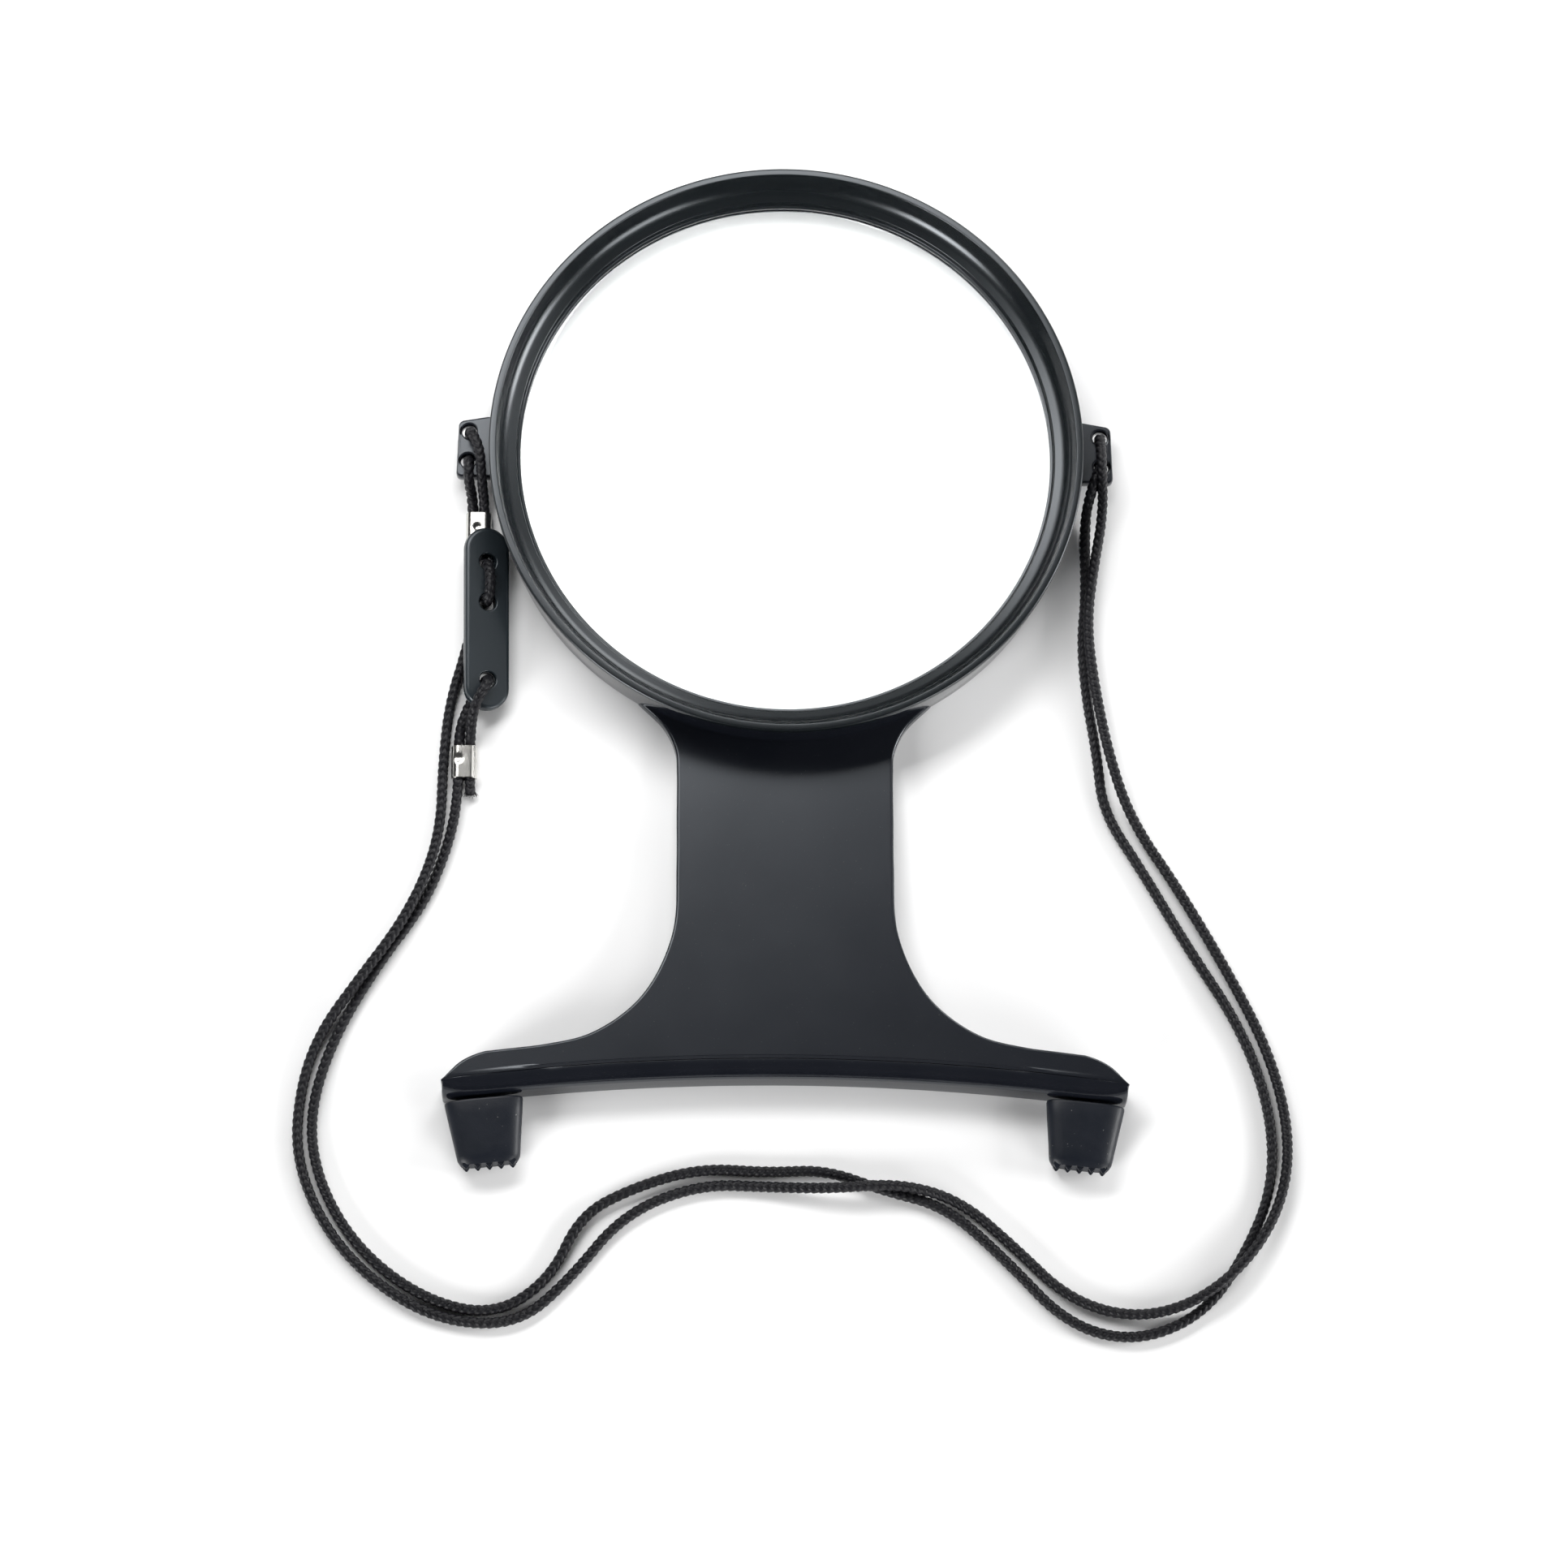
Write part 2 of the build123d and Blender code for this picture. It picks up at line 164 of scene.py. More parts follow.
def finish_piece(name, mesh, body, material, crease=35.0):
    """Shades a mesh and puts it in the scene as a piece that rides on a body, if it has one."""
    mesh.shade_smooth()
    mesh.set_sharp_from_angle(angle=math.radians(crease))
    mesh.materials.clear()
    mesh.materials.append(material)
    piece = bpy.data.objects.new(name, mesh)
    bpy.context.scene.collection.objects.link(piece)
    if body:
        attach(piece, body)
    return piece


def rounded(corners, steps=5):
    """A closed outline whose corners (x, y, radius) are rounded."""
    outline = []
    count = len(corners)
    for index, (x, y, radius) in enumerate(corners):
        here = Vector((x, y))
        to_last = (Vector(corners[index - 1][:2]) - here).normalized()
        to_next = (Vector(corners[(index + 1) % count][:2]) - here).normalized()
        if radius == 0:
            outline.append((x, y))
            continue
        half = to_last.angle(to_next) / 2
        centre = here + (to_last + to_next).normalized() * (radius / math.sin(half))
        start = here + to_last * (radius / math.tan(half)) - centre
        end = here + to_next * (radius / math.tan(half)) - centre
        for step in range(steps + 1):
            outline.append(tuple(centre + start.slerp(end, step / steps).normalized() * radius))
    return outline


def lathe(profile, around=AROUND):
    """Points and faces of a closed (radius, height) outline turned about the lens axis."""
    points = []
    for turn in range(around):
        angle = math.tau * turn / around
        for radius, height in profile:
            points.append((radius * math.cos(angle), RING_Y + radius * math.sin(angle), height))
    size = len(profile)
    faces = []
    for turn in range(around):
        here, there = turn * size, (turn + 1) % around * size
        for index in range(size):
            after = (index + 1) % size
            faces.append((here + index, there + index, there + after, here + after))
    return points, faces


def inset(outline, distance):
    """A closed anticlockwise outline moved inwards."""
    moved = []
    count = len(outline)
    for index in range(count):
        before, here = Vector(outline[index - 1]), Vector(outline[index])
        after = Vector(outline[(index + 1) % count])
        first, second = (here - before).normalized(), (after - here).normalized()
        inward = Vector((-first.y - second.y, first.x + second.x)).normalized()
        share = max(0.5, inward.dot(Vector((-first.y, first.x))))
        moved.append(tuple(here + inward * distance / share))
    return moved


def circle(centre, radius, steps=40):
    """An anticlockwise round outline."""
    turns = [math.tau * step / steps for step in range(steps)]
    return [(centre[0] + radius * math.cos(t), centre[1] + radius * math.sin(t)) for t in turns]


def plate(outline, holes, edge, hole_edge=1.0):
    """A flat plate with round holes. edge lists (inset, height) from its bottom face to its top face.

    hole_edge is the share of that rounding which the rims of the holes have. A narrow flat strip inside
    each rim keeps the shading of the large faces even.
    """
    strip = 0.12
    edge = [(edge[0][0] + strip, edge[0][1]), *edge, (edge[-1][0] + strip, edge[-1][1])]
    points, faces, caps = [], [], {0: [], len(edge) - 1: []}
    loops = [[inset(outline, depth) for depth, _ in edge]]
    loops += [[circle(centre, radius + depth * hole_edge) for depth, _ in edge] for centre, radius in holes]
    for stack in loops:
        size = len(stack[0])
        first = len(points)
        for level, loop in enumerate(stack):
            if level in caps:
                caps[level].append((len(points), loop))
            points += [(x, y, edge[level][1]) for x, y in loop]
        for level in range(len(edge) - 1):
            for index in range(size):
                a, b = first + level * size + index, first + level * size + (index + 1) % size
                faces.append((a, b, b + size, a + size))
    for stack in caps.values():
        order = [start + index for start, loop in stack for index in range(len(loop))]
        flat = [[Vector((x, y, 0)) for x, y in loop] for _, loop in stack]
        faces += [tuple(order[corner] for corner in triangle) for triangle in tessellate_polygon(flat)]
    return points, faces


def through(points, steps):
    """A smooth path through points, with that many steps between each two."""
    ends = [2 * Vector(points[0]) - Vector(points[1]), 2 * Vector(points[-1]) - Vector(points[-2])]
    knots = [ends[0], *map(Vector, points), ends[1]]
    path = []
    for a, b, c, d in zip(knots, knots[1:], knots[2:], knots[3:]):
        ta = (b - a).length ** 0.5
        tb = (c - b).length ** 0.5
        tc = (d - c).length ** 0.5
        tangent_b = ((b - a) / ta - (c - a) / (ta + tb) + (c - b) / tb) * tb
        tangent_c = ((c - b) / tb - (d - b) / (tb + tc) + (d - c) / tc) * tb
        for step in range(steps):
            t = step / steps
            path.append(
                b * (2 * t**3 - 3 * t**2 + 1) + tangent_b * (t**3 - 2 * t**2 + t)
                + c * (3 * t**2 - 2 * t**3) + tangent_c * (t**3 - t**2))
    path.append(Vector(points[-1]))
    return path


# ---- materials ------------------------------------------------------------------------------------


def add(tree, kind, **inputs):
    """A shader node with some of its inputs set; underscores in a name stand for spaces."""
    node = tree.nodes.new(kind)
    for name, value in inputs.items():
        socket = node.inputs[name.replace("_", " ")]
        if isinstance(value, bpy.types.NodeSocket):
            tree.links.new(value, socket)
        else:
            socket.default_value = value
    return node


def new_material(name):
    """A node material, its tree and its Principled shader."""
    material = bpy.data.materials.new(name)
    material.use_nodes = True
    tree = material.node_tree
    return material, tree, tree.nodes["Principled BSDF"]


def noise(tree, scale, detail=2.0, stretch=(1, 1, 1), where="Object"):
    """Noise from 0 to 1 at a scale in cells per metre."""
    coordinates = tree.nodes.new("ShaderNodeTexCoord")
    mapped = add(tree, "ShaderNodeMapping", Vector=coordinates.outputs[where], Scale=stretch)
    texture = add(tree, "ShaderNodeTexNoise", Vector=mapped.outputs[0], Scale=scale, Detail=detail)
    return texture.outputs[0]


def spread(tree, value, low, high, least=0.0, most=1.0):
    """A value's range from least to most, turned into low to high."""
    node = add(
        tree, "ShaderNodeMapRange", Value=value, From_Min=least, From_Max=most, To_Min=low, To_Max=high)
    return node.outputs[0]


def worked_out(tree, operation, *values):
    """The result of a maths node on one or two values."""
    node = tree.nodes.new("ShaderNodeMath")
    node.operation = operation
    for socket, value in zip(node.inputs, values):
        if isinstance(value, bpy.types.NodeSocket):
            tree.links.new(value, socket)
        else:
            socket.default_value = value
    return node.outputs[0]


def mixed(tree, share, first, second):
    """Two colours mixed by a share from 0 to 1."""
    node = tree.nodes.new("ShaderNodeMix")
    node.data_type = "RGBA"
    tree.links.new(share, node.inputs["Factor"])
    for socket, colour in ((node.inputs[6], first), (node.inputs[7], second)):
        if isinstance(colour, bpy.types.NodeSocket):
            tree.links.new(colour, socket)
        else:
            socket.default_value = (*colour, 1)
    return node.outputs[2]


def bumped(tree, height, distance, strength=1.0, under=None):
    """A normal from a height, on top of another bump if there is one under it."""
    node = add(tree, "ShaderNodeBump", Height=height, Distance=distance, Strength=strength)
    if under:
        tree.links.new(under, node.inputs["Normal"])
    return node.outputs[0]


def upward(tree):
    """0 on walls and 1 on faces that look straight up or down."""
    geometry = tree.nodes.new("ShaderNodeNewGeometry")
    parts = add(tree, "ShaderNodeSeparateXYZ", Vector=geometry.outputs["Normal"])
    return spread(tree, worked_out(tree, "ABSOLUTE", parts.outputs["Z"]), 0, 1, 0.35, 0.9)


def dust(tree, scale, least=0.74):
    """Fine light specks: 1 on a speck and 0 elsewhere."""
    return spread(tree, noise(tree, scale, 1.0), 0, 1, least, least + 0.03)


def moulded(name, colour, pale, top_rough, wall_rough, grain, specks=0.76):
    """Black moulded plastic: finely grained where it looks up, polished on its walls."""
    material, tree, shader = new_material(name)
    cloud = noise(tree, 90, 4.0)
    shade = mixed(tree, cloud, colour, pale)
    speckled = mixed(tree, dust(tree, 3200, specks), shade, (0.05, 0.05, 0.05))
    tree.links.new(speckled, shader.inputs["Base Color"])
    face = upward(tree)
    worn = spread(tree, noise(tree, 60, 4.0), -0.03, 0.03)
    rough = worked_out(tree, "ADD", spread(tree, face, wall_rough, top_rough), worn)
    tree.links.new(rough, shader.inputs["Roughness"])
    depth = spread(tree, face, 0.1, 1.0)
    tree.links.new(bumped(tree, noise(tree, 2400, 2.0), grain, depth), shader.inputs["Normal"])
    shader.inputs["IOR"].default_value = 1.54
    shader.inputs["Specular Tint"].default_value = (0.90, 0.95, 1.0, 1)
    return material


def rubber():
    """Matte blue-black rubber with a dusty bloom and a few pale specks."""
    material, tree, shader = new_material("boot_rubber")
    bloom = mixed(tree, noise(tree, 260, 5.0), (0.004, 0.006, 0.010), (0.009, 0.011, 0.017))
    speckled = mixed(tree, dust(tree, 2300, 0.765), bloom, (0.20, 0.20, 0.19))
    tree.links.new(speckled, shader.inputs["Base Color"])
    tree.links.new(spread(tree, noise(tree, 500, 3.0), 0.36, 0.50), shader.inputs["Roughness"])
    shader.inputs["Specular IOR Level"].default_value = 0.3
    fine = bumped(tree, noise(tree, 4200, 2.0), 0.00002, 0.8)
    tree.links.new(bumped(tree, noise(tree, 420, 3.0), 0.00005, 0.5, fine), shader.inputs["Normal"])
    return material


def plated_metal():
    """Bright plating with fine rubbed lines along its length and a few dull spots."""
    material, tree, shader = new_material("crimp_plating")
    shader.inputs["Metallic"].default_value = 1.0
    dull = spread(tree, noise(tree, 420, 4.0), 0, 1, 0.52, 0.72)
    tree.links.new(mixed(tree, dull, (0.66, 0.65, 0.62), (0.50, 0.48, 0.45)), shader.inputs["Base Color"])
    lines = noise(tree, 900, 3.0, (9, 0.6, 9))
    tree.links.new(spread(tree, lines, 0.12, 0.32), shader.inputs["Roughness"])
    tree.links.new(bumped(tree, lines, 0.00001, 0.2), shader.inputs["Normal"])
    return material


def yarn():
    """Black multifilament yarn: fine filaments along it and a soft sheen."""
    material, tree, shader = new_material("braid_yarn")
    filament = noise(tree, 1.0, 2.0, (26, 1.2, 1), "UV")
    tone = mixed(tree, filament, (0.003, 0.003, 0.004), (0.014, 0.014, 0.017))
    faded = spread(tree, noise(tree, 320, 2.0), 0, 0.4, 0.45, 0.75)
    tree.links.new(mixed(tree, faded, tone, (0.016, 0.016, 0.018)), shader.inputs["Base Color"])
    tree.links.new(spread(tree, filament, 0.28, 0.46), shader.inputs["Roughness"])
    shader.inputs["Specular IOR Level"].default_value = 0.22
    tree.links.new(bumped(tree, filament, 0.00006, 0.9), shader.inputs["Normal"])
    return material


def clear_lens():
    """Clear acrylic that bends light where it enters and lets the lamps through to what lies under it."""
    material, tree, shader = new_material("lens_acrylic")
    haze = spread(tree, noise(tree, 60, 3.0), 0.0, 0.012)
    glass = add(tree, "ShaderNodeBsdfGlass", Color=(0.985, 0.99, 0.99, 1), IOR=1.49, Roughness=haze)
    clear = add(tree, "ShaderNodeBsdfTransparent", Color=(0.97, 0.975, 0.975, 1))
    path = tree.nodes.new("ShaderNodeLightPath")
    geometry = tree.nodes.new("ShaderNodeNewGeometry")
    first_pass = worked_out(tree, "LESS_THAN", path.outputs["Ray Depth"], 1.5)
    leaving = worked_out(tree, "MULTIPLY", first_pass, geometry.outputs["Backfacing"])
    mix = tree.nodes.new("ShaderNodeMixShader")
    tree.links.new(worked_out(tree, "MAXIMUM", path.outputs["Is Shadow Ray"], leaving), mix.inputs[0])
    tree.links.new(glass.outputs[0], mix.inputs[1])
    tree.links.new(clear.outputs[0], mix.inputs[2])
    tree.links.new(mix.outputs[0], tree.nodes["Material Output"].inputs["Surface"])
    tree.nodes.remove(shader)
    return material


def table_top():
    """A plain pale, dull surface."""
    material, tree, shader = new_material("table_top")
    tone = mixed(tree, noise(tree, 8, 2.0), (0.93, 0.93, 0.93), (0.95, 0.95, 0.95))
    tree.links.new(tone, shader.inputs["Base Color"])
    shader.inputs["Roughness"].default_value = 0.8
    shader.inputs["Specular IOR Level"].default_value = 0.2
    return material


FRAME_PLASTIC = moulded(
    "frame_plastic", colour=(0.004, 0.005, 0.008), pale=(0.008, 0.009, 0.013),
    top_rough=0.29, wall_rough=0.10, grain=0.000006)
BEZEL_PLASTIC = moulded(
    "bezel_plastic", colour=(0.003, 0.004, 0.005), pale=(0.005, 0.007, 0.008),
    top_rough=0.30, wall_rough=0.20, grain=0.000005, specks=0.8)
SLIDER_PLASTIC = moulded(
    "slider_plastic", colour=(0.007, 0.011, 0.014), pale=(0.012, 0.017, 0.021),
    top_rough=0.36, wall_rough=0.18, grain=0.000006)
BOOT_RUBBER = rubber()
CRIMP_PLATING = plated_metal()
BRAID_YARN = yarn()
LENS_ACRYLIC = clear_lens()


# ---- camera and light -----------------------------------------------------------------------------


CAMERA_PLACE = Vector((-0.0360, -0.3568, 1.1445))
CAMERA_AIM = Vector((-0.0001, -0.0234, 0.0))
CAMERA_LENS = 135.61
LAMP_DISTANCE = 1.6
LAMP_SIZE = 0.65
# The far lamps, as (name, bearing from +X, lean from straight up, watts)
LAMPS = (
    ("key", 135, 52, 5.0), ("high", 20, 46, 2.0), ("right", 0, 74, 22.0), ("back_right", 60, 74, 9.0),
    ("front_left", 225, 74, 23.0), ("front_right", 315, 74, 12.0),
)
TABLE_HALF = 3.0


def make_camera():
    """Above the table and a little in front of the feet, upright along +Y."""
    back = (CAMERA_PLACE - CAMERA_AIM).normalized()
    right = Vector((0, 1, 0)).cross(back).normalized()
    up = back.cross(right)
    data = bpy.data.cameras.new("camera")
    data.sensor_width = 36.0
    data.lens = CAMERA_LENS
    camera = bpy.data.objects.new("camera", data)
    camera.matrix_world = Matrix.Translation(CAMERA_PLACE) @ Matrix((right, up, back)).transposed().to_4x4()
    bpy.context.scene.collection.objects.link(camera)
    bpy.context.scene.camera = camera


def softbox(name, place, width, height, watts):
    """A lamp with an even rectangular face turned towards the object."""
    data = bpy.data.lights.new(name, "AREA")
    data.shape = "RECTANGLE"
    data.size = width
    data.size_y = height
    data.energy = watts
    lamp = bpy.data.objects.new(name, data)
    lamp.visible_camera = False
    lamp.location = place
    lamp.rotation_euler = (-Vector(place)).to_track_quat("-Z", "Y").to_euler()
    bpy.context.scene.collection.objects.link(lamp)


def make_lamps():
    """A small panel close behind the ring and a circle of large soft lamps round the table."""
    softbox("near_panel", (-0.08, 0.19, 0.30), 0.36, 0.12, 1.2)
    for name, bearing, lean, watts in LAMPS:
        level = LAMP_DISTANCE * math.sin(math.radians(lean))
        x = level * math.cos(math.radians(bearing))
        y = level * math.sin(math.radians(bearing))
        z = LAMP_DISTANCE * math.cos(math.radians(lean))
        softbox(name, (x, y, z), LAMP_SIZE, LAMP_SIZE, watts)


def make_world():
    """A nearly dark room, a little lighter overhead."""
    world = bpy.data.worlds.new("studio")
    world.use_nodes = True
    tree = world.node_tree
    direction = tree.nodes.new("ShaderNodeTexCoord")
    height = add(tree, "ShaderNodeSeparateXYZ", Vector=direction.outputs["Generated"])
    glow = spread(tree, height.outputs["Z"], 0.01, 0.03, 0.2, 1.0)
    tree.links.new(glow, tree.nodes["Background"].inputs["Strength"])
    tree.nodes["Background"].inputs["Color"].default_value = (1, 1, 1, 1)
    bpy.context.scene.world = world
    bpy.context.scene.view_settings.view_transform = "Standard"


def make_table():
    """The floor of the scene, which is not part of the object."""
    mesh = bpy.data.meshes.new("table")
    corners = [(x * TABLE_HALF, y * TABLE_HALF, 0) for x, y in ((-1, -1), (1, -1), (1, 1), (-1, 1))]
    mesh.from_pydata(corners, [], [(0, 1, 2, 3)])
    mesh.materials.append(table_top())
    table = bpy.data.objects.new("table", mesh)
    bpy.context.scene.collection.objects.link(table)


# ---- cords ----------------------------------------------------------------------------------------


def slider_matrix():
    """Local frame of the adjuster: x from its top end to its bottom end, z up out of its face."""
    along = (SLIDER_BOTTOM - SLIDER_TOP).normalized()
    up = (Vector((0, 0, 1)) - along * along.z).normalized()
    face = Matrix.Rotation(math.radians(-SLIDER_ROLL), 3, along) @ up
    across = face.cross(along)
    matrix = Matrix((along, across, face)).transposed().to_4x4()
    matrix.translation = (SLIDER_TOP + SLIDER_BOTTOM) / 2
    return matrix


def on_slider(from_top, across, height):
    """World point at a distance from the slider's top end, across it, and above its middle plane."""
    return tuple(slider_matrix() @ Vector((from_top - SLIDER_LENGTH / 2, across, height)))


LUG_LOOP = [
    (-61.25, 29.5, 1.5), (-61.25, 35.0, 1.5), (-61.9, 39.0, 7.5), (-62.3, 45.2, 7.7), (-64.4, 49.6, 6.2),
    (-64.4, 49.6, 1.1), (-64.6, 43.3, 1.1), (-64.6, 43.3, 6.6), (-64.5, 38.2, 6.9), (-63.55, 35.4, 1.5),
    (-63.55, 29.5, 1.5),
]

MAIN = [
    (-61.25, 29.5, 1.5), (-61.25, 24.5, 1.5), (-62.1, 16.0, 1.1), (-64.5, 4.0, 1.1), (-67.8, -7.5, 1.1),
    (-68.9, -20.5, 1.1), (-69.1, -33.0, 1.5), (-71.6, -43.6, 3.2), (-76.8, -54.4, 3.4), (-84.4, -65.0, 3.5),
    (-92.4, -76.0, 1.4), (-96.0, -87.0, 1.1), (-96.8, -100.8, 1.1), (-91.5, -114.5, 1.1), (-81.6, -126.0, 1.1),
    (-68.0, -134.0, 1.1), (-52.6, -134.8, 1.1), (-42.3, -125.6, 1.1), (-32.0, -112.5, 1.1),
    (-17.0, -106.3, 1.1), (-3.0, -106.8, 1.1), (9.0, -107.5, 3.4), (23.0, -106.3, 3.4),
    (35.0, -109.4, 1.1), (45.5, -118.7, 1.1), (56.0, -129.0, 1.1), (69.0, -132.8, 1.1),
    (81.5, -129.8, 3.4), (92.5, -120.4, 3.5), (99.2, -107.8, 1.7), (100.4, -94.0, 1.1),
    (96.5, -78.0, 1.1), (88.7, -62.0, 1.1), (79.4, -45.4, 1.1), (70.0, -31.0, 1.2),
    (65.6, -18.4, 3.3), (62.8, -3.6, 3.4), (61.3, 10.0, 3.4), (63.0, 22.5, 3.2), (65.0, 33.3, 3.4),
    (64.5, 41.4, 9.2), (64.5, 49.6, 6.2), (64.5, 49.6, 1.1), (64.7, 43.3, 1.1), (64.7, 43.3, 6.6),
    (62.6, 38.2, 6.9), (61.3, 32.8, 1.1), (61.4, 25.0, 1.1),
]

RETURN = [
    (61.4, 25.0, 1.1), (61.5, 17.2, 1.1), (60.4, 7.0, 1.1), (61.2, -5.0, 1.1), (63.2, -17.0, 1.1),
    (64.2, -29.0, 1.1), (72.0, -41.5, 1.1), (81.0, -57.5, 1.1), (91.0, -73.3, 1.1), (96.7, -90.0, 1.1),
    (97.0, -106.0, 1.1), (91.0, -120.0, 1.1), (82.5, -132.0, 1.1), (69.0, -137.5, 1.1), (55.6, -134.0, 1.1),
    (44.0, -121.5, 1.1), (32.0, -110.5, 1.1), (19.5, -107.3, 1.1), (8.0, -103.2, 1.1),
    (-3.0, -103.9, 1.1), (-17.0, -103.0, 1.1), (-31.0, -107.5, 1.1), (-40.5, -113.0, 1.1),
    (-46.0, -125.5, 1.1), (-57.0, -133.0, 1.1), (-71.0, -129.8, 1.1), (-84.0, -120.0, 1.1),
    (-92.1, -106.6, 1.1), (-94.3, -93.0, 1.1), (-90.0, -77.5, 1.1), (-81.3, -62.0, 1.1), (-72.3, -49.5, 1.1),
    (-67.8, -38.0, 1.1), (-65.75, -28.0, 1.5), (-65.75, -20.0, 1.5),
]

ADJUSTER_LOOP = [
    (-63.3, -26.4, 1.4), (-63.45, -22.8, 1.5), (-63.45, -13.6, 1.5), (-62.7, -9.6, 7.4),
    on_slider(32.1, 0.0, 2.9), on_slider(32.1, 0.0, -2.6), (-64.0, -8.2, 1.3), (-65.75, -13.2, 1.5),
    (-65.75, -20.0, 1.5),
]

WEAVE = [
    on_slider(7.3, 0.0, -2.0), on_slider(7.3, 0.0, 2.8), on_slider(15.8, 0.0, 2.8), on_slider(15.8, 0.0, -2.0),
]

YARNS_EACH_WAY = 4
BRAID_PITCH = 1.5           # from one V of the braid to the next
BRAID_RADIUS = 0.70
BRAID_WEAVE = 0.17          # how far a yarn moves out and in as it passes over and under
YARN_WIDTH = 1.0
YARN_THICK = 0.60
YARN_SIDES = 6
RING_STEP = 0.3             # along the cord, between two rings of a yarn's mesh
CORE_RADIUS = 0.56
CORE_SIDES = 8
LOWEST_YARN = 0.02          # the yarns are pressed flat above the table


def spline_line(name, route):
    """Evenly spaced points of the smooth NURBS spline that has the route as its control points."""
    data = bpy.data.curves.new(name, "CURVE")
    data.dimensions = "3D"
    spline = data.splines.new("NURBS")
    spline.points.add(len(route) - 1)
    for point, place in zip(spline.points, route):
        point.co = (*(coordinate * MM for coordinate in place), 1)
    spline.order_u = 3
    spline.use_endpoint_u = True
    data.resolution_u = 24
    holder = bpy.data.objects.new(name, data)
    mesh = bpy.data.meshes.new_from_object(holder)
    line = np.array([vertex.co for vertex in mesh.vertices]) / MM
    bpy.data.objects.remove(holder)
    bpy.data.curves.remove(data)
    bpy.data.meshes.remove(mesh)
    along = np.concatenate([[0], np.cumsum(np.linalg.norm(np.diff(line, axis=0), axis=1))])
    count = max(8, round(along[-1] / RING_STEP))
    places = np.linspace(0, along[-1], count + 1)
    return np.stack([np.interp(places, along, line[:, axis]) for axis in range(3)], axis=1)


def frames_along(line, normal=None):
    """Normal and side at each point; the normal turns slowly back towards straight up."""
    tangents = np.gradient(line, axis=0)
    tangents /= np.linalg.norm(tangents, axis=1)[:, None]
    up = np.array([0.0, 0.0, 1.0])
    normal = up if normal is None else normal
    normals = []
    for tangent in tangents:
        level = up - tangent * (up @ tangent)
        normal = normal - tangent * (normal @ tangent) + 0.04 * level
        normal = normal / np.linalg.norm(normal)
        normals.append(normal)
    normals = np.array(normals)
    return normals, np.cross(tangents, normals)


def tube_faces(rings, sides, first=0):
    """Quads of a tube of rings, closed round its sides, with both ends capped."""
    ring, side = np.meshgrid(np.arange(rings - 1), np.arange(sides), indexing="ij")
    a = first + ring * sides + side
    b = first + ring * sides + (side + 1) % sides
    quads = np.stack([a, b, b + sides, a + sides], axis=-1).reshape(-1, 4)
    ends = [tuple(range(first + sides - 1, first - 1, -1))]
    ends.append(tuple(range(first + (rings - 1) * sides, first + rings * sides)))
    return [tuple(quad) for quad in quads.tolist()] + ends


def braid(name, route, start=None):
    """A braided cord as one mesh of yarns over a core. start carries on from another cord's end."""
    line = spline_line(name, route)
    normal, turn = start or (None, 0.0)
    normals, sides = frames_along(line, normal)
    along = np.arange(len(line)) * RING_STEP
    lead = BRAID_PITCH * YARNS_EACH_WAY
    uneven = 0.10 * np.sin(along / 6.1) + 0.07 * np.sin(along / 2.3 + 1.0)
    points, faces, fibre = [], [], []
    angles = np.arange(YARN_SIDES) / YARN_SIDES * math.tau
    for way in (-1, 1):
        for number in range(YARNS_EACH_WAY):
            around = way * (math.tau * (along / lead + number / YARNS_EACH_WAY) + turn + uneven)
            radius = BRAID_RADIUS + way * BRAID_WEAVE * np.sin(2 * around)
            out = np.cos(around)[:, None] * normals + np.sin(around)[:, None] * sides
            centre = line + out * radius[:, None]
            heading = np.gradient(centre, axis=0)
            heading /= np.linalg.norm(heading, axis=1)[:, None]
            flat = np.cross(heading, out)
            flat /= np.linalg.norm(flat, axis=1)[:, None]
            over = np.cross(flat, heading)
            ring = (
                centre[:, None, :]
                + flat[:, None, :] * (YARN_WIDTH / 2 * np.cos(angles))[None, :, None]
                + over[:, None, :] * (YARN_THICK / 2 * np.sin(angles))[None, :, None])
            faces += tube_faces(len(line), YARN_SIDES, len(points) * len(line) * YARN_SIDES)
            points.append(ring.reshape(-1, 3))
            fibre.append(np.stack(np.broadcast_arrays(angles[None, :] / math.tau, along[:, None]), axis=-1))
    points = np.concatenate(points)
    fibre = np.concatenate([part.reshape(-1, 2) for part in fibre])
    core_angles = np.arange(CORE_SIDES) / CORE_SIDES * math.tau
    core = (
        line[::2, None, :] + CORE_RADIUS * np.cos(core_angles)[None, :, None] * normals[::2, None, :]
        + CORE_RADIUS * np.sin(core_angles)[None, :, None] * sides[::2, None, :])
    faces += tube_faces(len(core), CORE_SIDES, len(points))
    points = np.concatenate([points, core.reshape(-1, 3)])
    points[:, 2] = np.maximum(points[:, 2], LOWEST_YARN)
    fibre = np.concatenate([fibre, np.zeros((len(core) * CORE_SIDES, 2))])
    mesh = bpy.data.meshes.new(name)
    mesh.from_pydata((points * MM).tolist(), [], faces)
    corners = np.zeros(len(mesh.loops), np.int32)
    mesh.loops.foreach_get("vertex_index", corners)
    mesh.uv_layers.new(name="fibre").data.foreach_set("uv", fibre[corners].ravel().astype(np.float32))
    end = (normals[-1], turn + math.tau * along[-1] / lead + uneven[-1] - uneven[0])
    return mesh, line * MM, end


def make_cord(node, route, body, start=None):
    """The braid of one stretch of cord, its middle line in metres and what its next stretch starts from."""
    mesh, line, end = braid("braid_" + node, route, start)
    piece = finish_piece("braid_" + node, mesh, body, BRAID_YARN, 60.0)
    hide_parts(node)
    return piece, line, end


# ---- lens ring ------------------------------------------------------------------------------------


